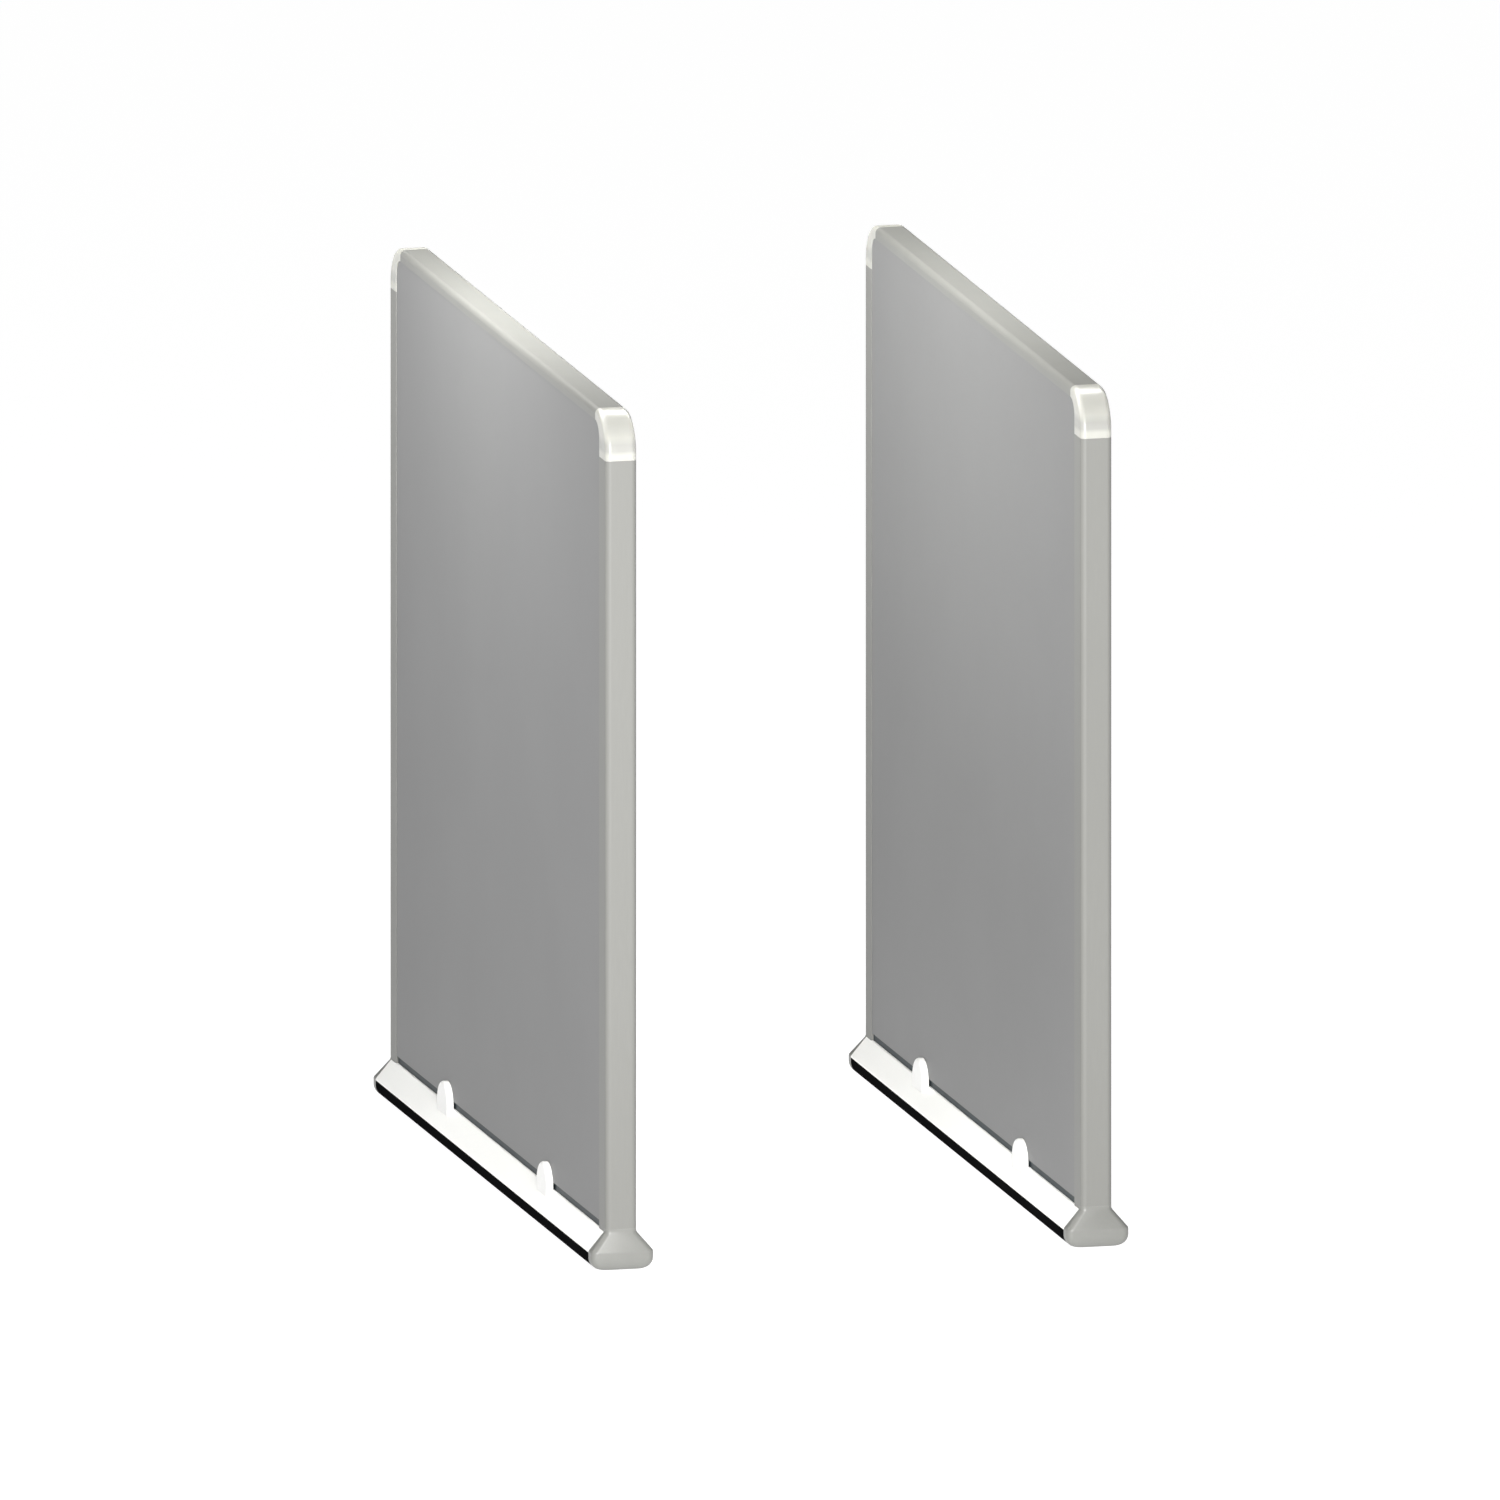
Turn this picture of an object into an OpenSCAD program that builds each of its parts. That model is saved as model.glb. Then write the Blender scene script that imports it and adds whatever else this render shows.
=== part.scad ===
// Shop-entrance security gate: two flat aerial pedestals that stand either side of a walkway.
// Frame: +Z up, +Y along the walkway (front at -Y), +X across the aisle between the pedestals.
// The origin is on the floor, midway between the two pedestals. All sizes are in millimetres.

/* [Gate] */
// Height of a pedestal above the floor
gate_h = 1512; // [1200:2:1800]
// Width of a pedestal along the walkway
panel_w = 1592; // [1300:2:1800]
// Thickness of a pedestal
panel_t = 56; // [52:1:60]
// Distance between the middles of the two pedestals
pitch = 850; // [650:10:1200]

/* [Frame] */
// Radius of the top corners, seen from the side
corner_r = 70; // [62:1:78]
// Length of each leg of a corner cap
cap_leg = 80; // [80:1:100]
// Radius of the long outer edges of the frame
arris_r = 10; // [8:1:12]
// Visible width of a post beside the skin
side_flange = 50; // [40:1:56]
// Visible height of the top rail above the skin
top_flange = 20; // [18:1:30]
// Wall of the posts, the rails and the corner caps
frame_wall = 3; // [2:0.5:4]
// Length of the fins that the skins lie on
fin_l = 14; // [10:1:20]
// Length of the spigots that join a corner cap to the post and the top rail
spigot_l = 30; // [20:1:40]

/* [Skins] */
// Thickness of a skin
skin_t = 3; // [2:0.5:4]
// Depth of a skin below the face of the frame
skin_recess = 1; // [0.5:0.25:2]
// Height of the shadow gap between the base covers and the skins
shadow_gap = 13; // [8:1:16]

/* [Base] */
// Width of the base across the aisle
base_w = 112; // [104:1:126]
// Height of the base covers
base_h = 65; // [60:1:72]
// Height at which the slope of a base cover meets its side
shoulder_z = 32; // [29:1:36]
// Radius of the edge between slope and side
shoulder_r = 6; // [3:1:10]
// Height of a base cover's upright lower edge
cover_lip = 0.6; // [0.6:0.2:4]
// Radius of the tucked-in lower edge of the skirt
skirt_r = 20; // [14:1:24]
// Wall of the skirt
skirt_wall = 3; // [2:0.5:4]
// Thickness of a base cover
cover_t = 2.5; // [2:0.5:3]
// Depth of a foot cap along the walkway
foot_depth = 14; // [13:1:20]
// Distance that a foot cap stands out beyond the post
foot_out = 12; // [6:1:16]
// Radius of a foot cap's corners, seen from above
foot_edge_r = 12; // [8:1:12]
// Radius of the blend from post to foot
neck_r = 10; // [6:1:14]
// Thickness of the steel base plate
plate_t = 6; // [5:1:8]
// Width of the steel base plate
plate_w = 86; // [84:1:90]
// Height of the bottom rail's top wall above the floor
rail_top = 104; // [100:1:120]

/* [Fixings] */
// Radius of a floor anchor hole
anchor_r = 4.5; // [4:0.5:5.5]
// Distance between anchor holes across the aisle
anchor_dx = 64; // [62:1:66]
// Distance from the end of the pedestal to its anchor holes
anchor_inset = 121; // [90:1:200]
// Distance from the end of the pedestal to a clamp bolt
clamp_inset = 430; // [380:5:460]
// Height of a clamp bolt above the floor
clamp_z = 84; // [82:1:86]
// Radius of a clamp bolt
clamp_r = 4; // [3:0.5:5]
// Radius of the half-round cap over a clamp bolt
boss_r = 40; // [36:1:46]
// Distance that a bolt cap stands proud of the skin
boss_proud = 12; // [12:0.5:16]
// Radius of a bolt cap's outer edge
boss_edge_r = 5.5; // [3:0.5:5.5]
// Wall of a bolt cap
boss_wall = 2.5; // [2:0.25:3]
// Thickness of the floor brackets
bracket_t = 3; // [2:0.5:3.5]
// Radius of the screws that hold the floor brackets
screw_r = 3; // [2.5:0.5:4]

/* [Inside] */
// Width of a stiffener
stiffener_w = 40; // [30:1:50]
// Wall of a stiffener
stiffener_wall = 2; // [1.5:0.5:3]
// Thickness of an aerial coil
coil_t = 14; // [10:1:20]
// Width of an aerial coil's winding
coil_w = 18; // [12:1:30]
// Radius of the outer corners of an aerial coil
coil_r = 60; // [40:1:100]
// Distance from the frame's fins to a coil
coil_margin = 12; // [8:1:20]
// Width of the electronics tray
tray_w = 300; // [280:2:340]
// Height of the electronics tray
tray_h = 200; // [200:2:260]
// Thickness of the tray's sheet
tray_t = 1.5; // [1:0.5:2]
// Depth of the tray's side walls
tray_d = 26; // [22:1:30]
// Thickness of the circuit boards
board_t = 1.6; // [1:0.2:2.4]
// Radius of the alarm sounder
sounder_r = 30; // [20:1:36]
// Radius of the cable entry through the floor
cable_r = 9; // [6:0.5:10]
// Radius of the inside leads
lead_r = 2; // [1.5:0.5:3]

/* [Fits] */
// Gap around pieces that lift or slide off
seat_gap = 0.3; // [0.2:0.05:0.5]
// Gap on each side of a spigot in its tube
spigot_gap = 0.1; // [0.05:0.05:0.3]
// Radial gap of a screw or bolt in a plain hole
bolt_gap = 0.3; // [0.2:0.1:0.6]
// Radial gap of a screw or a grommet in its own hole
close_gap = 0.05; // [0.02:0.01:0.1]

/* [Hidden] */
$fn = 48;
SIDES = ["left", "right"];
PIECES = [
    "front_post", "rear_post", "top_rail", "bottom_rail",
    "front_corner_cap", "rear_corner_cap", "outer_skin", "aisle_skin",
    "stiffeners", "upper_coil", "lower_coil",
    "electronics_tray", "circuit_board", "board_components", "sounder",
    "lamp_boards", "wiring", "cable_grommet",
    "base_plate", "base_skirt", "front_foot_cap", "rear_foot_cap",
    "floor_brackets", "fasteners", "outer_base_cover", "aisle_base_cover",
    "outer_front_bolt_cap", "outer_rear_bolt_cap",
    "aisle_front_bolt_cap", "aisle_rear_bolt_cap"
];

over = 1;
half_w = panel_w / 2;
half_t = panel_t / 2;
face_x = half_t - skin_recess;
rail_x = face_x - skin_t;
skin_z = base_h + shadow_gap;
skin_corner_r = cap_leg - side_flange;
post_top = gate_h - cap_leg;
clamp_y = half_w - clamp_inset;
anchor_y = half_w - anchor_inset;
fin_top = rail_top + fin_l;
field_top = gate_h - top_flange - fin_l;
field_y = half_w - side_flange - fin_l;

// The base seen from the end: half its outline, as [half width, height], from the floor up
slope = (base_h - shoulder_z) / (base_w / 2 - half_t);
slope_a = atan(1 / slope);
slope_drop = cover_t * sqrt(1 + slope * slope);
shoulder_cut = shoulder_r * tan(slope_a / 2);
neck_cut = neck_r * tan(slope_a / 2);
shoulder_arc = [for (i = [0:4]) let (a = i * slope_a / 4)
    [base_w / 2 - shoulder_r * (1 - cos(a)), shoulder_z - shoulder_cut + shoulder_r * sin(a)]];
neck_arc = [for (i = [0:4]) let (a = (4 - i) * slope_a / 4)
    [half_t + neck_r * (1 - cos(a)), base_h + neck_cut - neck_r * sin(a)]];
tuck_arc = [for (i = [0:6]) let (a = i * 15)
    [base_w / 2 - skirt_r * (1 - sin(a)), skirt_r * (1 - cos(a))]];
foot_top = base_h + neck_cut + 2;
cover_z = shoulder_z - shoulder_cut - cover_lip;
skirt_h = cover_z - seat_gap;
foot_line = concat(tuck_arc, shoulder_arc, neck_arc, [[half_t, foot_top]]);
foot_steps = 6;

// The floor brackets' ears and feet
ear_r = boss_r - boss_wall - seat_gap - 3;
boss_z = base_h + 3;
bracket_out = plate_w / 2 - 1;
bracket_screw_x = (face_x + bracket_t + bracket_out) / 2 + 1;
bracket_screw_y = 20;
screw_head_h = 4;
washer_t = 1.5;
bolt_head_h = 4.4;

// The aerial coils and the electronics
coil_y = field_y - coil_margin;
coil_low = fin_top + coil_margin;
coil_high = field_top - coil_margin;
coil_mid = (coil_low + coil_high) / 2;
coil_apart = 20;
stiffener_y = [-480, -(tray_w + stiffener_w) / 2, (tray_w + stiffener_w) / 2, 480];
tray_z = coil_low + coil_w + 22;
board_y = [-tray_w / 2 + 10, 60];
board_z = [tray_z + 10, tray_z + tray_h - 10];
board_x = -rail_x + 9;
parts_x = board_x + board_t;
plug_h = 8;
lead_x = parts_x + plug_h + lead_r;
over_coil_x = coil_t / 2 + lead_r + seat_gap;
lamp_depth = 24;
lamp_lead_x = 12;
lamp_w = 34;
cable_y = 100;
grommet_r = cable_r + 5;
flange_h = 3;

// ---- Helpers ----

// Puts a pedestal's piece in its place. A pedestal is drawn with the aisle at +X.
module placed(side) {
    translate([side == "left" ? -pitch / 2 : pitch / 2, 0, 0])
        mirror([side == "left" ? 0 : 1, 0, 0]) children();
}

// Copies a piece of the front half to the rear
module rear() {
    mirror([0, 1, 0]) children();
}

// Copies a piece of the aisle side to the outer side
module outer() {
    mirror([1, 0, 0]) children();
}

// Stands an outline up in the plane of the panel: its x is towards the front, its y is up
module upright(thickness) {
    rotate([90, 0, -90]) linear_extrude(thickness, center = true) children();
}

// Draws a section in x and z out along the walkway, from y = -length / 2 to length / 2
module along(length) {
    rotate([90, 0, 0]) linear_extrude(length, center = true) children();
}

// Section of the frame's outer edge: x across the thickness, y inwards from the edge
module edge_2d(depth, inset = 0) {
    half = half_t - inset;
    r = arris_r - inset;
    translate([-half, arris_r]) square([2 * half, depth - inset - arris_r]);
    translate([r - half, inset]) square([2 * (half - r), depth - 2 * inset]);
    for (s = [-1, 1]) translate([s * (half - r), arris_r]) intersection() {
        circle(r = r);
        translate([-r, -r]) square([2 * r, r]);
    }
}

module edge_tube_2d(depth, inset, wall) {
    difference() {
        edge_2d(depth, inset);
        edge_2d(depth, inset + wall);
    }
}

// The opening in the frame that a skin fills, from height low, grown by grow on all sides
module field_2d(low, grow = 0) {
    r = skin_corner_r + grow;
    half = half_w - side_flange + grow;
    top = gate_h - top_flange + grow;
    translate([-half, low]) square([2 * half, top - low - r]);
    translate([r - half, low]) square([2 * (half - r), top - low]);
    for (s = [-1, 1]) translate([s * (half - r), top - r]) circle(r = r);
}

module bolt(head_r, head_h, r, length) {
    cylinder(r = r, h = length);
    translate([0, 0, -head_h]) cylinder(r = head_r, h = head_h);
}

module ring(r_out, r_in, h) {
    difference() {
        cylinder(r = r_out, h = h);
        translate([0, 0, -over]) cylinder(r = r_in, h = h + 2 * over);
    }
}

// A lead along the points of a route, with round bends
module lead(route) {
    for (i = [0:len(route) - 2]) let (d = route[i + 1] - route[i]) {
        translate(route[i]) rotate([0, acos(d.z / norm(d)), atan2(d.y, d.x)])
            cylinder(r = lead_r, h = norm(d));
        if (i > 0) translate(route[i]) sphere(r = lead_r);
    }
}

// ---- Frame ----

module front_post() {
    color([0.72, 0.72, 0.70]) difference() {
        translate([0, -half_w, 0]) {
            translate([0, 0, plate_t]) linear_extrude(post_top - plate_t)
                edge_tube_2d(side_flange, 0, frame_wall);
            for (s = [0, 1]) mirror([s, 0, 0])
                translate([rail_x - frame_wall, side_flange - over, fin_top])
                    cube([frame_wall, fin_l + over, post_top - fin_top]);
        }
        translate([-panel_t, -half_w - over, 0]) cube([2 * panel_t, foot_depth + over, foot_top]);
        translate([lamp_lead_x, -half_w + side_flange - 2 * frame_wall, board_z[1] - 10])
            rotate([-90, 0, 0]) cylinder(r = 2 * lead_r, h = 3 * frame_wall);
    }
}

module rear_post() {
    rear() front_post();
}

module top_rail() {
    length = panel_w - 2 * cap_leg;
    color([0.72, 0.72, 0.70]) {
        translate([0, 0, gate_h]) along(length) mirror([0, 1])
            edge_tube_2d(top_flange, 0, frame_wall);
        for (s = [0, 1]) mirror([s, 0, 0])
            translate([rail_x - frame_wall, -length / 2, field_top])
                cube([frame_wall, length, fin_l + over]);
    }
}

module bottom_rail() {
    length = 2 * (half_w - side_flange);
    color([0.20, 0.22, 0.24]) difference() {
        union() {
            along(length) difference() {
                translate([-rail_x, plate_t]) square([2 * rail_x, rail_top - plate_t]);
                translate([frame_wall - rail_x, plate_t + frame_wall])
                    square([2 * (rail_x - frame_wall), rail_top - plate_t - 2 * frame_wall]);
            }
            for (s = [0, 1]) mirror([s, 0, 0])
                translate([rail_x - frame_wall, -length / 2, rail_top - over])
                    cube([frame_wall, length, fin_l + over]);
        }
        clamp_holes(rail_x + over);
        translate([0, cable_y, 0]) cylinder(r = grommet_r, h = plate_t + 2 * frame_wall);
        translate([0, cable_y, rail_top - 2 * frame_wall]) cylinder(r = cable_r, h = 3 * frame_wall);
    }
}

// Holes for the two clamp bolts, through everything within reach of the middle
module clamp_holes(reach) {
    for (s = [-1, 1]) translate([-reach, s * clamp_y, clamp_z])
        rotate([0, 90, 0]) cylinder(r = clamp_r + bolt_gap, h = 2 * reach);
}

// The round of a top front corner, as a solid edge section swept from the post to the top rail
module corner_sweep(depth, inset) {
    translate([0, corner_r - half_w, gate_h - corner_r]) rotate([90, 0, -90])
        rotate_extrude(angle = 90) translate([corner_r, 0]) rotate(90) edge_2d(depth, inset);
    translate([0, -half_w, post_top]) linear_extrude(cap_leg - corner_r) edge_2d(cap_leg, inset);
    translate([0, (cap_leg + corner_r) / 2 - half_w, gate_h])
        along(cap_leg - corner_r) mirror([0, 1]) edge_2d(cap_leg, inset);
}

module corner_body(inset) {
    intersection() {
        corner_sweep((corner_r + side_flange) / 2, inset);
        upright(panel_t - 2 * inset) difference() {
            translate([half_w - cap_leg, post_top]) square(cap_leg);
            field_2d(skin_z, inset);
        }
    }
}

module front_corner_cap() {
    collar = frame_wall + spigot_gap;
    color([0.93, 0.93, 0.90]) {
        difference() {
            corner_body(0);
            corner_body(frame_wall);
        }
        // Spigots into the post and the top rail, each with a collar inside the cap
        translate([0, -half_w, post_top - spigot_l]) {
            linear_extrude(spigot_l + 4) edge_tube_2d(side_flange, collar, frame_wall);
            difference() {
                linear_extrude(frame_wall) edge_2d(side_flange, collar);
                translate([lamp_lead_x, lamp_depth - lead_r, -over])
                    cylinder(r = 2 * lead_r, h = frame_wall + 2 * over);
            }
        }
        translate([0, -half_w, post_top]) linear_extrude(4)
            edge_tube_2d(side_flange, frame_wall / 2, frame_wall);
        translate([0, cap_leg - half_w, gate_h]) mirror([0, 0, 1]) {
            translate([0, spigot_l / 2 - 2, 0]) rotate([90, 0, 0])
                linear_extrude(spigot_l + 4, center = true)
                    edge_tube_2d(top_flange, collar, frame_wall / 2);
            translate([0, -2, 0]) rotate([90, 0, 0]) linear_extrude(4, center = true)
                edge_tube_2d(top_flange, frame_wall / 2, frame_wall);
        }
    }
}

module rear_corner_cap() {
    rear() front_corner_cap();
}

// ---- Skins and what is between them ----

module aisle_skin() {
    color([0.60, 0.60, 0.60]) difference() {
        translate([face_x - skin_t / 2, 0, 0]) upright(skin_t) field_2d(skin_z, -seat_gap);
        clamp_holes(half_t + over);
    }
}

module outer_skin() {
    outer() aisle_skin();
}

module stiffeners() {
    depth = rail_x - coil_t / 2;
    color([0.75, 0.76, 0.77]) for (y = stiffener_y, s = [0, 1])
        mirror([s, 0, 0]) translate([coil_t / 2, y - stiffener_w / 2, fin_top])
            difference() {
                cube([depth, stiffener_w, field_top - fin_top]);
                translate([-over, stiffener_wall, -over])
                    cube([depth - stiffener_wall + over, stiffener_w - 2 * stiffener_wall, gate_h]);
            }
}

module round_box_2d(half, low, high, r) {
    translate([-half, low + r]) square([2 * half, high - low - 2 * r]);
    translate([r - half, low]) square([2 * (half - r), high - low]);
    for (s = [-1, 1], z = [low + r, high - r]) translate([s * (half - r), z]) circle(r = r);
}

module coil(low, high) {
    color([0.72, 0.42, 0.22]) upright(coil_t) difference() {
        round_box_2d(coil_y, low, high, coil_r);
        round_box_2d(coil_y - coil_w, low + coil_w, high - coil_w, coil_r - coil_w);
    }
}

module upper_coil() {
    coil(coil_mid + coil_apart / 2, coil_high);
}

module lower_coil() {
    coil(coil_low, coil_mid - coil_apart / 2);
}

// ---- Electronics ----

// The corners of the main board, where its standoffs and screws are
function board_corners() = [for (y = board_y, z = board_z)
    [y + (y < 0 ? 6 : -6), z + (z == board_z[0] ? 6 : -6)]];

module electronics_tray() {
    color([0.70, 0.71, 0.73]) {
        translate([-rail_x, -tray_w / 2, tray_z]) {
            cube([tray_t, tray_w, tray_h]);
            // Side walls, each with a hole for a lamp's lead
            for (y = [0, tray_w - tray_t]) translate([0, y, 0]) difference() {
                cube([tray_d, tray_t, tray_h]);
                translate([rail_x + lead_x, -over, board_z[1] - 10 - tray_z])
                    rotate([-90, 0, 0]) cylinder(r = 2 * lead_r, h = tray_t + 2 * over);
            }
        }
        for (c = board_corners()) translate([-rail_x + tray_t / 2, c[0], c[1]])
            rotate([0, 90, 0]) cylinder(r = 3, h = board_x + rail_x - tray_t / 2);
    }
}

module circuit_board() {
    color([0.10, 0.42, 0.22]) translate([board_x, board_y[0], board_z[0]])
        cube([board_t, board_y[1] - board_y[0], board_z[1] - board_z[0]]);
}

module board_components() {
    low = board_z[0];
    color([0.15, 0.15, 0.16]) {
        // Power transformer, processor, relays and terminal block
        translate([parts_x, -125, low + 15]) cube([20, 46, 40]);
        translate([parts_x, -30, low + 80]) cube([3, 26, 26]);
        for (y = [-125, -100]) translate([parts_x, y, low + 75]) cube([15, 18, 28]);
        translate([parts_x, -10, low + 6]) cube([12, 60, 10]);
    }
    // Smoothing capacitors
    color([0.25, 0.28, 0.55]) for (i = [0:3])
        translate([parts_x, -62 + i * 20, low + 40]) rotate([0, 90, 0]) cylinder(r = 8, h = 18);
    // Heat sink: a web with fins
    color([0.8, 0.8, 0.82]) translate([parts_x, -66, low + 68]) {
        cube([16, 3, 60]);
        for (i = [0:5]) translate([0, 0, i * 11]) cube([16, 22, 2.5]);
    }
    // Plugs of the inside leads
    color([0.9, 0.9, 0.85]) for (y = plug_y())
        translate([parts_x, y - 6, board_z[1] - 14]) cube([plug_h, 12, 8]);
}

// Where the plugs are along the top of the main board: front lamp, lower coil, upper coil, rear lamp
function plug_y() = [board_y[0] + 12, -100, -60, board_y[1] - 12];

module sounder() {
    color([0.12, 0.12, 0.13])
        translate([-rail_x + tray_t, (board_y[1] + tray_w / 2) / 2, tray_z + tray_h / 2])
            rotate([0, 90, 0]) difference() {
                cylinder(r = sounder_r, h = 24);
                for (a = [0:45:315]) rotate(a) translate([sounder_r / 2, 0, 20])
                    cylinder(r = 2, h = 5);
                translate([0, 0, 20]) cylinder(r = 3, h = 5);
            }
}

module lamp_board() {
    bottom = post_top - spigot_l + frame_wall;
    translate([-lamp_w / 2, lamp_depth - half_w, bottom]) {
        color([0.10, 0.42, 0.22]) cube([lamp_w, board_t, cap_leg + spigot_l - corner_r]);
        color([0.95, 0.3, 0.2]) for (x = [6, lamp_w / 2 - 4, lamp_w / 2 + 4], z = [24, 34])
            translate([x, 0, z]) rotate([90, 0, 0]) cylinder(r = 2.5, h = 5);
    }
}

module lamp_boards() {
    lamp_board();
    rear() lamp_board();
}

// The lead from the main board's plug, past the coil, into the post and up to the lamp board
module lamp_lead(plug) {
    z = board_z[1] - 10;
    y = half_w - lamp_depth + lead_r;
    past = coil_y - coil_w - 12;
    lead([[lead_x, -plug, z], [lead_x, -past, z], [lamp_lead_x, -past, z],
        [lamp_lead_x, -y, z], [lamp_lead_x, -y, post_top - spigot_l + frame_wall + 12]]);
}

module coil_lead(y, top) {
    z = board_z[1] - 10;
    lead([[lead_x, y, z], [over_coil_x, y, z], [over_coil_x, y, top]]);
}

module wiring() {
    color([0.75, 0.1, 0.1]) {
        lamp_lead(-plug_y()[0]);
        rear() lamp_lead(plug_y()[3]);
        coil_lead(plug_y()[1], coil_mid - coil_apart / 2 - coil_w / 2);
        coil_lead(plug_y()[2], coil_mid + coil_apart / 2 + coil_w / 2);
    }
}

module cable_grommet() {
    color([0.08, 0.08, 0.08]) translate([0, cable_y, seat_gap]) difference() {
        union() {
            cylinder(r = grommet_r - close_gap, h = plate_t + frame_wall + flange_h - seat_gap);
            translate([0, 0, plate_t + frame_wall - seat_gap]) cylinder(r = grommet_r + 3, h = flange_h);
        }
        translate([0, 0, -over]) cylinder(r = cable_r, h = 30);
    }
}

// ---- Base ----

module base_plate() {
    length = panel_w - 2 * foot_depth;
    color([0.55, 0.56, 0.58]) difference() {
        translate([-plate_w / 2, -length / 2, 0]) cube([plate_w, length, plate_t]);
        for (x = [-1, 1], y = [-1, 1]) translate([x * anchor_dx / 2, y * anchor_y, -over])
            cylinder(r = anchor_r, h = plate_t + 2 * over);
        for (p = bracket_screws()) translate([p[0], p[1], -over])
            cylinder(r = screw_r + close_gap, h = plate_t + 2 * over);
        translate([0, cable_y, -over]) cylinder(r = grommet_r, h = plate_t + 2 * over);
    }
}

// Where the screws of the floor brackets are
function bracket_screws() = [for (x = [-1, 1], y = [-1, 1], s = [-1, 1])
    [x * bracket_screw_x, y * clamp_y + s * bracket_screw_y]];

module base_skirt() {
    length = panel_w - 2 * (foot_depth + seat_gap);
    color([0.03, 0.03, 0.03]) for (s = [0, 1]) mirror([s, 0, 0]) along(length)
        difference() {
            polygon(concat([[0, 0]], tuck_arc, [[base_w / 2, skirt_h], [0, skirt_h]]));
            translate([-over, -over]) square([plate_w / 2 + over, base_h]);
            translate([0, skirt_r * 3 / 4]) square([base_w / 2 - skirt_wall, base_h]);
        }
}

// The corners widen from the post's own radius at the top to the foot's
function foot_r(z) = let (t = max(0, min(1, (foot_top - z) / (foot_top - shoulder_z))))
    arris_r * (1 - t) + foot_edge_r * t;

// How far the front of a foot cap stands out where it is so wide
function foot_front(half) = foot_out * (half - half_t) / (base_w / 2 - half_t);

// One level of a foot cap, from its back corner round the front to its other back corner
function foot_level(half, z, r) = let (y = r - foot_front(half)) concat(
    [[-half, foot_depth, z]],
    [for (i = [0:foot_steps]) let (a = i * 90 / foot_steps) [r - half - r * cos(a), y - r * sin(a), z]],
    [for (i = [foot_steps:-1:0]) let (a = i * 90 / foot_steps) [half - r + r * cos(a), y - r * sin(a), z]],
    [[half, foot_depth, z]]
);

// A foot cap is a stack of such levels, joined side to side
module front_foot_cap() {
    levels = len(foot_line);
    n = 2 * foot_steps + 4;
    points = [for (p = foot_line) each foot_level(p[0], p[1], foot_r(p[1]))];
    sides = [for (i = [0:levels - 2], j = [0:n - 1]) let (a = i * n + j, b = i * n + (j + 1) % n)
        each [[a, a + n, b], [b, a + n, b + n]]];
    bottom = [for (j = [1:n - 2]) [0, j, j + 1]];
    top = [for (j = [1:n - 2]) let (k = (levels - 1) * n) [k, k + j + 1, k + j]];
    color([0.70, 0.70, 0.68]) translate([0, -half_w, 0])
        polyhedron(points = points, faces = concat(sides, bottom, top));
}

module rear_foot_cap() {
    rear() front_foot_cap();
}

module floor_bracket() {
    difference() {
        union() {
            translate([face_x, -ear_r, plate_t]) cube([bracket_t, 2 * ear_r, boss_z - plate_t]);
            translate([face_x, 0, boss_z]) rotate([0, 90, 0]) cylinder(r = ear_r, h = bracket_t);
            translate([face_x, -ear_r, plate_t])
                cube([bracket_out - face_x, 2 * ear_r, bracket_t]);
        }
        translate([face_x - over, 0, clamp_z]) rotate([0, 90, 0])
            cylinder(r = clamp_r + bolt_gap, h = bracket_t + 2 * over);
        for (s = [-1, 1]) translate([bracket_screw_x, s * bracket_screw_y, plate_t - over])
            cylinder(r = screw_r + bolt_gap, h = bracket_t + 2 * over);
    }
}

module floor_brackets() {
    color([0.60, 0.61, 0.63]) for (m = [0, 1], y = [-clamp_y, clamp_y])
        mirror([m, 0, 0]) translate([0, y, 0]) floor_bracket();
}

module fasteners() {
    grip = face_x + bracket_t + washer_t;
    color([0.80, 0.80, 0.82]) {
        for (y = [-clamp_y, clamp_y]) translate([0, y, clamp_z]) rotate([0, 90, 0]) {
            // Clamp bolt, nut, washers and the spacer tube inside the rail
            translate([0, 0, -grip]) bolt(7, bolt_head_h, clamp_r, 2 * grip + bolt_head_h);
            translate([0, 0, grip]) ring(7, clamp_r, bolt_head_h);
            for (z = [-grip, grip - washer_t]) translate([0, 0, z])
                ring(8, clamp_r + bolt_gap, washer_t);
            translate([0, 0, frame_wall - rail_x])
                ring(8, clamp_r + bolt_gap, 2 * (rail_x - frame_wall));
        }
        for (p = bracket_screws()) translate([p[0], p[1], plate_t + bracket_t])
            mirror([0, 0, 1]) bolt(5, screw_head_h, screw_r, bracket_t + plate_t - 1);
    }
}

function slope_z(x, drop) = base_h - drop - (x - half_t) * slope;
function slope_x(z, drop) = half_t + (base_h - drop - z) / slope;

module cover_2d() {
    side_x = base_w / 2 - cover_t;
    lip = base_h - cover_t;
    polygon(concat(
        [[rail_x + seat_gap, lip], [rail_x + seat_gap, base_h], [half_t, base_h]],
        [for (i = [4:-1:0]) shoulder_arc[i]],
        [[base_w / 2, cover_z], [side_x, cover_z], [side_x, slope_z(side_x, slope_drop)],
            [slope_x(lip, slope_drop), lip]]
    ));
}

module aisle_base_cover() {
    length = panel_w - 2 * (foot_depth + seat_gap);
    ear_w = 2 * (ear_r + seat_gap);
    color([0.97, 0.97, 0.96]) difference() {
        along(length) cover_2d();
        // Room for the posts and for the brackets' ears
        for (s = [0, 1]) mirror([0, s, 0])
            translate([0, half_w - side_flange - seat_gap, 0])
                cube([half_t + seat_gap, side_flange, gate_h]);
        for (y = [-clamp_y, clamp_y]) translate([0, y - ear_w / 2, 0])
            cube([face_x + bracket_t + seat_gap, ear_w, gate_h]);
    }
}

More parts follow.
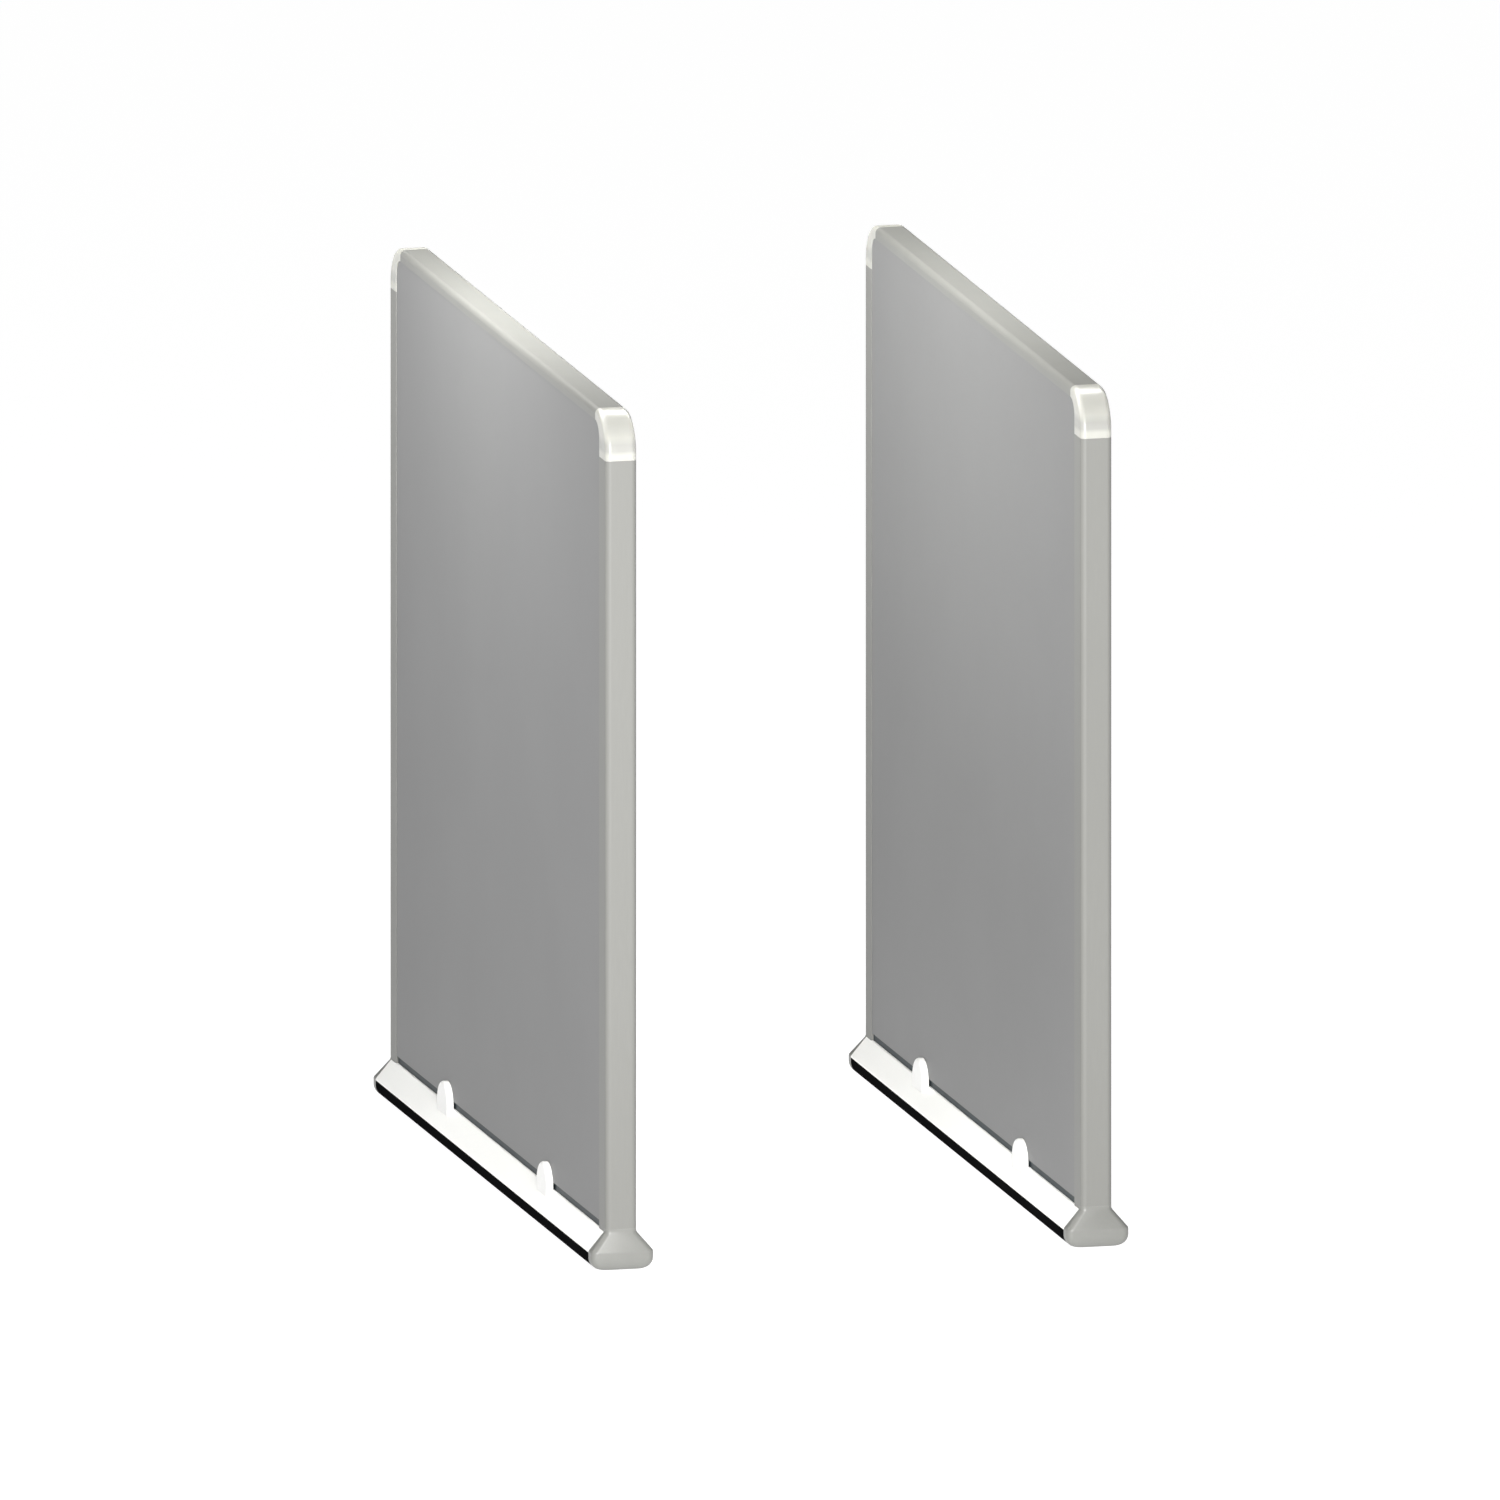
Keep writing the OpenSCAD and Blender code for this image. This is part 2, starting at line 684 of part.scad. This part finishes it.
module outer_base_cover() {
    outer() aisle_base_cover();
}

// A half disc with a straight-sided lower part, standing out along +X
module boss(r, depth, edge) {
    intersection() {
        rotate([0, 90, 0]) rotate_extrude() {
            square([r - edge, depth]);
            square([r, depth - edge]);
            translate([r - edge, depth - edge]) circle(r = edge);
        }
        translate([0, -r - over, 0]) cube([depth + over, 2 * (r + over), r + over]);
    }
    translate([0, 0, -30]) linear_extrude(30) {
        translate([0, edge - r]) square([depth, 2 * (r - edge)]);
        translate([0, -r]) square([depth - edge, 2 * r]);
        for (s = [-1, 1]) translate([depth - edge, s * (r - edge)]) circle(r = edge);
    }
}

module aisle_bolt_cap() {
    color([0.95, 0.95, 0.94]) difference() {
        translate([face_x + seat_gap, 0, boss_z]) difference() {
            boss(boss_r, boss_proud - seat_gap, boss_edge_r);
            boss(boss_r - boss_wall, boss_proud - seat_gap - boss_wall, boss_edge_r - boss_wall);
        }
        // The lower edge follows the slope of the base cover
        along(4 * boss_r) polygon([[0, 0], [0, base_h + seat_gap], [half_t, base_h + seat_gap],
            [base_w / 2, shoulder_z + seat_gap], [base_w / 2, 0]]);
    }
}

module aisle_front_bolt_cap() {
    translate([0, -clamp_y, 0]) aisle_bolt_cap();
}

module aisle_rear_bolt_cap() {
    translate([0, clamp_y, 0]) aisle_bolt_cap();
}

module outer_front_bolt_cap() {
    outer() aisle_front_bolt_cap();
}

module outer_rear_bolt_cap() {
    outer() aisle_rear_bolt_cap();
}

// ---- Nodes: each piece once in each pedestal ----

for (side = SIDES) {
    placed(side) front_post();
    placed(side) rear_post();
    placed(side) top_rail();
    placed(side) bottom_rail();
    placed(side) front_corner_cap();
    placed(side) rear_corner_cap();
    placed(side) outer_skin();
    placed(side) aisle_skin();
    placed(side) stiffeners();
    placed(side) upper_coil();
    placed(side) lower_coil();
    placed(side) electronics_tray();
    placed(side) circuit_board();
    placed(side) board_components();
    placed(side) sounder();
    placed(side) lamp_boards();
    placed(side) wiring();
    placed(side) cable_grommet();
    placed(side) base_plate();
    placed(side) base_skirt();
    placed(side) front_foot_cap();
    placed(side) rear_foot_cap();
    placed(side) floor_brackets();
    placed(side) fasteners();
    placed(side) outer_base_cover();
    placed(side) aisle_base_cover();
    placed(side) outer_front_bolt_cap();
    placed(side) outer_rear_bolt_cap();
    placed(side) aisle_front_bolt_cap();
    placed(side) aisle_rear_bolt_cap();
}
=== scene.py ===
import math

import bpy
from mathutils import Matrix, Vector


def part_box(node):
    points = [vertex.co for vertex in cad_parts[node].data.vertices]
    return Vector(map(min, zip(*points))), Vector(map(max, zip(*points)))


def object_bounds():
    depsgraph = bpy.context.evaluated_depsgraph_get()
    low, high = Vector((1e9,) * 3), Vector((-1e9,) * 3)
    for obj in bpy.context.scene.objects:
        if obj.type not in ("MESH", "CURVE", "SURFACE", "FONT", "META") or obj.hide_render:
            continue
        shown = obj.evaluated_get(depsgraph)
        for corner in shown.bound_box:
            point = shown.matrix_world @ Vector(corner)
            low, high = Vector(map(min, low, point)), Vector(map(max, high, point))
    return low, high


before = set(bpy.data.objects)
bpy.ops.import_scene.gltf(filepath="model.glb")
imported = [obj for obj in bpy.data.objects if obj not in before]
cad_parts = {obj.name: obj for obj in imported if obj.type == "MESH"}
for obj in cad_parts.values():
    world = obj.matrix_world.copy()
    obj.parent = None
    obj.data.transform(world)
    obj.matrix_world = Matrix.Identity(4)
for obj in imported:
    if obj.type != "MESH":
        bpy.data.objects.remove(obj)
cad_box = [list(corner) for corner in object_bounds()]
low, high = Vector(cad_box[0]), Vector(cad_box[1])
middle = (low + high) / 2

# ---------------------------------------------------------------- camera and light

AZIMUTH, ELEVATION = math.radians(-13.68), math.radians(11.37)
VIEW_WIDTH = 2.607          # metres across the picture
OFF_LEFT = 0.0016           # from the middle of the gate to the middle of the view
OFF_DOWN = 0.0114
CAMERA_DISTANCE = 8
back = Vector((math.sin(AZIMUTH) * math.cos(ELEVATION),
               -math.cos(AZIMUTH) * math.cos(ELEVATION), math.sin(ELEVATION)))
right = Vector((math.cos(AZIMUTH), math.sin(AZIMUTH), 0))
up = back.cross(right)

camera = bpy.data.objects.new("camera", bpy.data.cameras.new("camera"))
camera.data.type = "ORTHO"
camera.data.ortho_scale = VIEW_WIDTH
camera.data.clip_end = 100
camera.location = middle - right * OFF_LEFT - up * OFF_DOWN + back * CAMERA_DISTANCE
camera.rotation_euler = back.to_track_quat("Z", "Y").to_euler()
bpy.context.scene.collection.objects.link(camera)
bpy.context.scene.camera = camera
bpy.context.scene.view_settings.view_transform = "Standard"
bpy.context.scene.view_settings.look = "None"


def lamp(name, place, aim, size, watts, colour):
    """A soft square light at place that points at aim."""
    data = bpy.data.lights.new(name, "AREA")
    data.shape = "SQUARE"
    data.size = size
    data.energy = watts
    data.color = colour
    light = bpy.data.objects.new(name, data)
    light.location = place
    light.rotation_euler = (Vector(place) - Vector(aim)).to_track_quat("Z", "Y").to_euler()
    bpy.context.scene.collection.objects.link(light)
    return light


STRIP_Y, STRIP_AIM_Z = 0.15, 0.9
STRIP_WIDTH, STRIP_LENGTH = 0.5, 2.2


def strip(name, x, z, aim_x, watts, colour=(1, 1, 1)):
    """A long light over the gate, along the walkway."""
    light = lamp(name, (x, STRIP_Y, z), (aim_x, STRIP_Y, STRIP_AIM_Z), STRIP_WIDTH, watts, colour)
    light.data.shape = "RECTANGLE"
    light.data.size_y = STRIP_LENGTH


lamp("front_light", (-1.3, -5.5, 2.1), (0.1, 0, 0.7), 2.0, 520, (1, 0.995, 0.98))
strip("outer_light", -1.45, 2.7, -0.45, 28)
strip("aisle_light", -0.12, 2.4, 0.40, 52, (1, 0.995, 0.96))
strip("far_light", 1.60, 2.5, 0.45, 12)

# ---------------------------------------------------------------- materials


class Finish:
    """A material on one Principled shader, with the pattern nodes that feed it."""

    def __init__(self, name, **sockets):
        self.material = bpy.data.materials.new(name)
        self.material.use_nodes = True
        self.tree = self.material.node_tree
        self.shader = self.tree.nodes["Principled BSDF"]
        for socket, value in sockets.items():
            self.put(value, self.shader.inputs[socket.replace("_", " ")])
        self.coord = self.tree.nodes.new("ShaderNodeTexCoord").outputs["Object"]

    def node(self, kind, **sockets):
        """A new shader node with the values or links given for its sockets."""
        new = self.tree.nodes.new("ShaderNode" + kind)
        for socket, value in sockets.items():
            self.put(value, new.inputs[socket.replace("_", " ")])
        return new

    def put(self, value, socket):
        """Links value to the socket if it comes from a node, or sets it there."""
        if isinstance(value, bpy.types.NodeSocket):
            self.tree.links.new(value, socket)
        else:
            socket.default_value = value

    def noise(self, size, detail, stretch=(1, 1, 1)):
        """Noise whose lumps are about size metres across, longer along any axis with a stretch."""
        place = self.node("Mapping", Vector=self.coord, Scale=[1 / (size * s) for s in stretch])
        return self.node("TexNoise", Vector=place.outputs[0], Scale=1, Detail=detail).outputs[0]

    def span(self, value, a, b, lo=0.35, hi=0.65):
        """value from lo to hi, mapped to a to b."""
        new = self.node("MapRange", Value=value, From_Min=lo, From_Max=hi, To_Min=a, To_Max=b)
        return new.outputs[0]

    def times(self, x, y):
        """x times y."""
        new = self.node("Math")
        new.operation = "MULTIPLY"
        self.put(x, new.inputs[0])
        self.put(y, new.inputs[1])
        return new.outputs[0]

    def edges(self, width):
        """1 on the sharp edges of the piece, 0 away from them."""
        rounded = self.node("Bevel", Radius=width)
        rounded.samples = 4
        plain = self.node("NewGeometry").outputs["Normal"]
        dot = self.node("VectorMath")
        dot.operation = "DOT_PRODUCT"
        self.tree.links.new(rounded.outputs[0], dot.inputs[0])
        self.tree.links.new(plain, dot.inputs[1])
        return self.span(dot.outputs["Value"], 1, 0, 0.80, 0.99)

    def mix(self, amount, a, b):
        """Colour a where amount is 0, and colour b where it is 1."""
        new = self.node("Mix")
        new.data_type = "RGBA"
        self.put(amount, new.inputs[0])
        self.put((*a, 1) if isinstance(a, tuple) else a, new.inputs[6])
        self.put((*b, 1) if isinstance(b, tuple) else b, new.inputs[7])
        return new.outputs[2]

    def colour(self, value):
        self.tree.links.new(value, self.shader.inputs["Base Color"])

    def rough(self, value):
        self.tree.links.new(value, self.shader.inputs["Roughness"])

    def bump(self, height, distance):
        new = self.node("Bump", Height=height, Distance=distance, Strength=1.0)
        self.tree.links.new(new.outputs[0], self.shader.inputs["Normal"])


def shade(colour, factor):
    return tuple(c * factor for c in colour)


PAINT_EDGE, PAINT_WEAR = 0.0012, 0.02       # width and length of the rubbed places, in metres
PAINT_SHEEN = 0.25                          # metres across the duller patches


def painted(name, colour, rough, grain, depth, vary, worn=None,
            tone=0.5, stretch=(1, 1, 1), uneven=0.03, **sockets):
    """Paint, powder coat or moulded plastic: cloudy tone, fine grain, rubbed edges."""
    look = Finish(name, **sockets)
    cloud = look.span(look.noise(tone, 2), 0, 1)
    base = look.mix(cloud, shade(colour, 1 - vary), shade(colour, 1 + vary))
    speck = look.span(look.noise(grain * 3, 2, stretch), 0, 0.5)
    base = look.mix(speck, base, shade(colour, 1 - 2 * vary))
    if worn:
        rubbed = look.times(look.edges(PAINT_EDGE), look.span(look.noise(PAINT_WEAR, 4), 0.05, 0.8))
        base = look.mix(rubbed, base, worn)
    look.colour(base)
    look.rough(look.span(look.noise(PAINT_SHEEN, 4, stretch), rough - uneven, rough + uneven))
    look.bump(look.noise(grain, 2, stretch), depth)
    return look


LINE_WIDTH, LINE_DEPTH = 0.0006, 0.00002    # of the drawn lines, in metres
METAL_EDGE, METAL_WEAR = 0.0008, 0.01
METAL_SHEEN = 0.02


def metal(name, colour, rough, streak, vary, worn=None, tone=0.12):
    """Bare or plated metal: fine drawn lines along one axis, dull patches."""
    look = Finish(name, Metallic=1.0)
    cloud = look.span(look.noise(tone, 4), 0, 1)
    base = look.mix(cloud, shade(colour, 1 - vary), shade(colour, 1 + vary))
    lines = look.noise(LINE_WIDTH, 2, streak)
    base = look.mix(look.span(lines, 0, 0.35), base, shade(colour, 0.8))
    if worn:
        rubbed = look.times(look.edges(METAL_EDGE), look.span(look.noise(METAL_WEAR, 3), 0.2, 1))
        base = look.mix(rubbed, base, worn)
    look.colour(base)
    look.rough(look.span(look.noise(METAL_SHEEN, 5, streak), rough - 0.08, rough + 0.1))
    look.bump(lines, LINE_DEPTH)
    return look


GREY = (0.184, 0.185, 0.176)
FRAME = painted("frame_paint", GREY, 0.42, 0.0012, 0.00002, 0.02, (0.27, 0.27, 0.26),
                stretch=(1, 1, 12), Specular_IOR_Level=0.25)
SKIN = painted("skin_laminate", (0.180, 0.181, 0.183), 0.5, 0.0030, 0.00003, 0.006,
               (0.26, 0.26, 0.26), tone=0.35, uneven=0.012, Specular_IOR_Level=0.3)


COLLAR_FROM = (0.010, 0.017)    # metres above the seam over which the collar begins to show
COLLAR_TO = (0.028, 0.040)      # and over which it fades again


def corner_material():
    """Milky lens, a little greyer where the collar inside it shows through above the seam."""
    colour = (0.41, 0.41, 0.375)
    look = Finish("corner_lens", Subsurface_Weight=0.35, Subsurface_Radius=(0.02, 0.02, 0.016),
                  Subsurface_Scale=1.0, Coat_Weight=0.05)
    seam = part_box("left_front_post")[1][2]
    z = look.node("SeparateXYZ", Vector=look.coord).outputs[2]
    collar = look.times(look.span(z, 0, 1, seam + COLLAR_FROM[0], seam + COLLAR_FROM[1]),
                        look.span(z, 1, 0, seam + COLLAR_TO[0], seam + COLLAR_TO[1]))
    base = look.mix(look.span(look.noise(0.03, 3), 0, 1), shade(colour, 0.98), shade(colour, 1.02))
    look.colour(look.mix(look.times(collar, 0.6), base, (0.25, 0.25, 0.24)))
    look.rough(look.span(look.noise(0.02, 4), 0.30, 0.38))
    look.bump(look.noise(0.0022, 2), 0.00003)
    return look


CORNER = corner_material()
COVER = painted("cover_plastic", (0.96, 0.96, 0.945), 0.30, 0.0018, 0.00002, 0.012,
                Coat_Weight=0.2)
CAP = painted("cap_plastic", (0.80, 0.80, 0.79), 0.33, 0.0015, 0.00003, 0.015,
              (0.78, 0.78, 0.76), tone=0.02, Coat_Weight=0.2)
FOOT = painted("foot_plastic", (0.182, 0.184, 0.174), 0.40, 0.0014, 0.00003, 0.02,
               (0.27, 0.27, 0.26), tone=0.04)
SKIRT = painted("skirt_rubber", (0.006, 0.006, 0.0065), 0.65, 0.0010, 0.00005, 0.10,
                (0.02, 0.02, 0.02), tone=0.1, Specular_IOR_Level=0.0)
# Dark rail paint, partly real colour and partly painted shade: it is this dark so that the gap
# between skins and covers shows as a shadow line.
RAIL_AND_GAP_SHADE = painted("rail_paint_and_gap_shade", (0.030, 0.040, 0.046), 0.50, 0.0012, 0.00003, 0.06,
               (0.10, 0.10, 0.10), stretch=(1, 12, 1), Specular_IOR_Level=0.2)
STEEL = metal("plate_steel", (0.46, 0.46, 0.47), 0.42, (1, 60, 1), 0.1)
ZINC = metal("zinc_plate", (0.62, 0.62, 0.60), 0.30, (4, 4, 4), 0.1, (0.8, 0.8, 0.8), 0.01)
ALUMINIUM = metal("inner_aluminium", (0.66, 0.67, 0.68), 0.36, (1, 1, 60), 0.05)
GROMMET = painted("grommet_rubber", (0.015, 0.015, 0.016), 0.6, 0.0008, 0.00004, 0.1, tone=0.01)
LEAD = painted("lead_sleeve", (0.50, 0.030, 0.025), 0.40, 0.0010, 0.00002, 0.08, tone=0.02)
CHIP = painted("chip_resin", (0.030, 0.030, 0.033), 0.50, 0.0006, 0.00003, 0.1, tone=0.01)
SOUNDER = painted("sounder_case", (0.025, 0.025, 0.027), 0.42, 0.0008, 0.00004, 0.1, tone=0.01)


def board_material():
    """Green solder mask with fine copper tracks under it."""
    look = Finish("board_mask", Coat_Weight=0.3, Coat_Roughness=0.2)
    place = look.node("Mapping", Vector=look.coord, Scale=(1, 260, 260))
    tracks = look.node("TexBrick", Vector=place.outputs[0], Scale=1, Mortar_Size=0.09,
                       Mortar_Smooth=0.3, Brick_Width=2.2, Row_Height=0.5)
    line = tracks.outputs["Fac"]
    cloud = look.span(look.noise(0.03, 3), 0, 1)
    board = look.mix(cloud, (0.010, 0.085, 0.035), (0.014, 0.11, 0.045))
    look.colour(look.mix(line, board, (0.045, 0.20, 0.07)))
    look.rough(look.span(look.noise(0.01, 3), 0.28, 0.42))
    look.bump(line, 0.00004)
    return look


def coil_material():
    """Turns of enamelled wire side by side, bound with tape every few centimetres."""
    look = Finish("coil_winding")
    place = look.node("Mapping", Vector=look.coord, Scale=(900, 900, 900))
    wires = look.node("TexVoronoi", Vector=place.outputs[0], Scale=1, Randomness=0.7).outputs[0]
    copper = look.mix(look.span(look.noise(0.03, 3), 0, 1), (0.34, 0.13, 0.05), (0.46, 0.19, 0.07))
    bands = look.node("TexWave", Vector=look.coord, Scale=7.0, Distortion=0.0)
    bands.bands_direction = "DIAGONAL"
    tape = look.span(bands.outputs[1], 0, 1, 0.80, 0.84)
    look.colour(look.mix(tape, copper, (0.62, 0.56, 0.40)))
    look.rough(look.span(look.noise(0.01, 3), 0.28, 0.45))
    look.bump(wires, 0.0004)
    return look


BOARD = board_material()
COIL = coil_material()

# ---------------------------------------------------------------- CAD nodes

# The look of each piece, without the side in front of its name
LOOKS = {
    "front_post": FRAME, "rear_post": FRAME, "top_rail": FRAME, "bottom_rail": RAIL_AND_GAP_SHADE,
    "front_corner_cap": CORNER, "rear_corner_cap": CORNER, "outer_skin": SKIN, "aisle_skin": SKIN,
    "stiffeners": ALUMINIUM, "upper_coil": COIL, "lower_coil": COIL,
    "electronics_tray": ZINC, "circuit_board": BOARD, "board_components": CHIP,
    "sounder": SOUNDER, "lamp_boards": BOARD, "wiring": LEAD, "cable_grommet": GROMMET,
    "base_plate": STEEL, "base_skirt": SKIRT, "front_foot_cap": FOOT, "rear_foot_cap": FOOT,
    "floor_brackets": STEEL, "fasteners": ZINC,
    "outer_base_cover": COVER, "aisle_base_cover": COVER,
    "outer_front_bolt_cap": CAP, "outer_rear_bolt_cap": CAP,
    "aisle_front_bolt_cap": CAP, "aisle_rear_bolt_cap": CAP,
}
# How far the sharp edges of each piece are rounded, in metres
ROUNDED = {
    "front_post": 0.0004, "rear_post": 0.0004, "top_rail": 0.0004, "bottom_rail": 0.0005,
    "front_corner_cap": 0.0004, "rear_corner_cap": 0.0004, "outer_skin": 0.0005,
    "aisle_skin": 0.0005, "base_skirt": 0.0008, "outer_base_cover": 0.0006,
    "aisle_base_cover": 0.0006, "base_plate": 0.0006, "floor_brackets": 0.0005,
    "electronics_tray": 0.0003, "outer_front_bolt_cap": 0.0004, "outer_rear_bolt_cap": 0.0004,
    "aisle_front_bolt_cap": 0.0004, "aisle_rear_bolt_cap": 0.0004, "circuit_board": 0.0002,
}

SAME_POINT = 2e-6       # metres between two points that are one
FLAT_ANGLE = 0.5        # degrees between faces that are one flat face
SHARP_ANGLE = 35        # degrees between faces that meet in an edge


def group(name):
    """An empty geometry node group with its input and output nodes."""
    tree = bpy.data.node_groups.new(name, "GeometryNodeTree")
    tree.interface.new_socket("Geometry", in_out="INPUT", socket_type="NodeSocketGeometry")
    tree.interface.new_socket("Geometry", in_out="OUTPUT", socket_type="NodeSocketGeometry")
    return tree, tree.nodes.new("NodeGroupInput"), tree.nodes.new("NodeGroupOutput")


def joined_group():
    """Joins the faces of an imported mesh at their edges, and drops the imported normals."""
    tree, start, end = group("join_faces")
    drop = tree.nodes.new("GeometryNodeRemoveAttribute")
    drop.inputs["Name"].default_value = "custom_normal"
    merge = tree.nodes.new("GeometryNodeMergeByDistance")
    merge.inputs["Distance"].default_value = SAME_POINT
    tree.links.new(start.outputs[0], drop.inputs[0])
    tree.links.new(drop.outputs[0], merge.inputs[0])
    tree.links.new(merge.outputs[0], end.inputs[0])
    return tree


def smooth_group(degrees):
    """Smooth faces, with sharp edges where two faces meet at more than this angle."""
    tree, start, end = group(f"smooth_{degrees}")
    angle = tree.nodes.new("GeometryNodeInputMeshEdgeAngle")
    less = tree.nodes.new("FunctionNodeCompare")
    less.operation = "LESS_EQUAL"
    less.inputs[1].default_value = math.radians(degrees)
    faces = tree.nodes.new("GeometryNodeSetShadeSmooth")
    edges = tree.nodes.new("GeometryNodeSetShadeSmooth")
    edges.domain = "EDGE"
    tree.links.new(angle.outputs[0], less.inputs[0])
    tree.links.new(start.outputs[0], faces.inputs[0])
    tree.links.new(faces.outputs[0], edges.inputs[0])
    tree.links.new(less.outputs[0], edges.inputs["Shade Smooth"])
    tree.links.new(edges.outputs[0], end.inputs[0])
    return tree


JOIN, SMOOTH = joined_group(), smooth_group(SHARP_ANGLE)


def refine(node, width):
    """Rounds a CAD node's sharp edges by width metres and shades its curves smoothly."""
    node.modifiers.new("join", "NODES").node_group = JOIN
    if width:
        flat = node.modifiers.new("flat", "DECIMATE")
        flat.decimate_type = "DISSOLVE"
        flat.angle_limit = math.radians(FLAT_ANGLE)
        edge = node.modifiers.new("edge", "BEVEL")
        edge.width = width
        edge.segments = 2
        edge.limit_method = "ANGLE"
        edge.angle_limit = math.radians(SHARP_ANGLE)
    node.modifiers.new("smooth", "NODES").node_group = SMOOTH
    if width:
        even = node.modifiers.new("even", "WEIGHTED_NORMAL")
        even.weight = 100
        even.keep_sharp = True


for side in ("left", "right"):
    for piece, look in LOOKS.items():
        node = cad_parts[f"{side}_{piece}"]
        node.data.materials.clear()
        node.data.materials.append(look.material)
        refine(node, ROUNDED.get(piece, 0))

# ---------------------------------------------------------------- floor and surroundings

FLOOR_HALF = 60.0       # half the width of the floor
FLOOR_DROP = 0.0005     # below the feet, so that the two don't fight
FLOOR_GLOW = 0.98
GROUND_LEVEL = 1.0      # of the white below the horizon
SKY_LEVEL = 0.03        # and above it
HORIZON_BLUR = 0.01


def make_floor():
    """One large plain face that glows as the white ground of the photograph does."""
    mesh = bpy.data.meshes.new("floor")
    half, z = FLOOR_HALF, low.z - FLOOR_DROP
    mesh.from_pydata([(-half, -half, z), (half, -half, z), (half, half, z), (-half, half, z)],
                     [], [(0, 1, 2, 3)])
    floor = bpy.data.objects.new("floor", mesh)
    bpy.context.scene.collection.objects.link(floor)
    look = Finish("floor_paint", Roughness=0.6, Base_Color=(0.20, 0.20, 0.20, 1),
                  Specular_IOR_Level=0.2, Emission_Color=(1, 1, 1, 1),
                  Emission_Strength=FLOOR_GLOW)
    mesh.materials.append(look.material)


def make_world():
    """White below the horizon, as the floor is, and nearly dark above it."""
    world = bpy.data.worlds.new("studio")
    world.use_nodes = True
    bpy.context.scene.world = world
    tree = world.node_tree
    sky = tree.nodes["Background"]
    place = tree.nodes.new("ShaderNodeTexCoord")
    parts = tree.nodes.new("ShaderNodeSeparateXYZ")
    level = tree.nodes.new("ShaderNodeMapRange")
    level.inputs["From Min"].default_value = -HORIZON_BLUR
    level.inputs["From Max"].default_value = 0.0
    level.inputs["To Min"].default_value = GROUND_LEVEL
    level.inputs["To Max"].default_value = SKY_LEVEL
    sky.inputs["Color"].default_value = (1, 1, 1, 1)
    tree.links.new(place.outputs["Generated"], parts.inputs[0])
    tree.links.new(parts.outputs["Z"], level.inputs["Value"])
    tree.links.new(level.outputs[0], sky.inputs["Strength"])


make_floor()
make_world()
